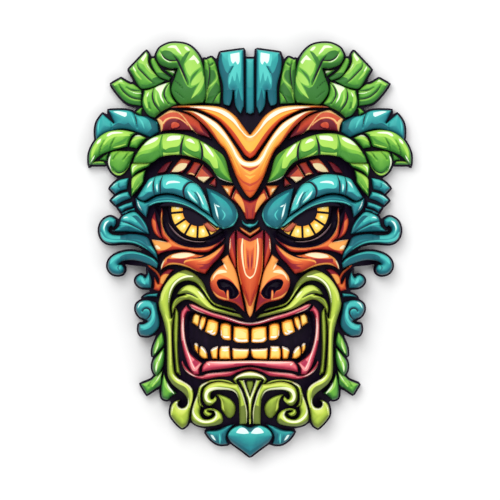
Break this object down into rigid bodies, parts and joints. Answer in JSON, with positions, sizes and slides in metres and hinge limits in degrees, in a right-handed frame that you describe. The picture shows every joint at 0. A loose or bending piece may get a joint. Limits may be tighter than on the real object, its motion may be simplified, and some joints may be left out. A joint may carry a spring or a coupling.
{
  "type": "tiki mask",
  "caption": "Carved and painted wooden tiki mask with a scowling face, bared teeth, leaf crown and scrolls, flat-backed and hollowed behind.",
  "frame": {"origin": "middle of the bounding box's underside, on the plane of the flat back rim", "axes": "+Z out of the face, +Y to the top of the head, +X to the viewer's right"},
  "size_m": [0.3895, 0.4999, 0.0985],
  "materials": {
    "painted_wood": "painted, satin"
  },
  "bodies": {
    "root": {"mask": "painted_wood"}
  },
  "joints": []
}
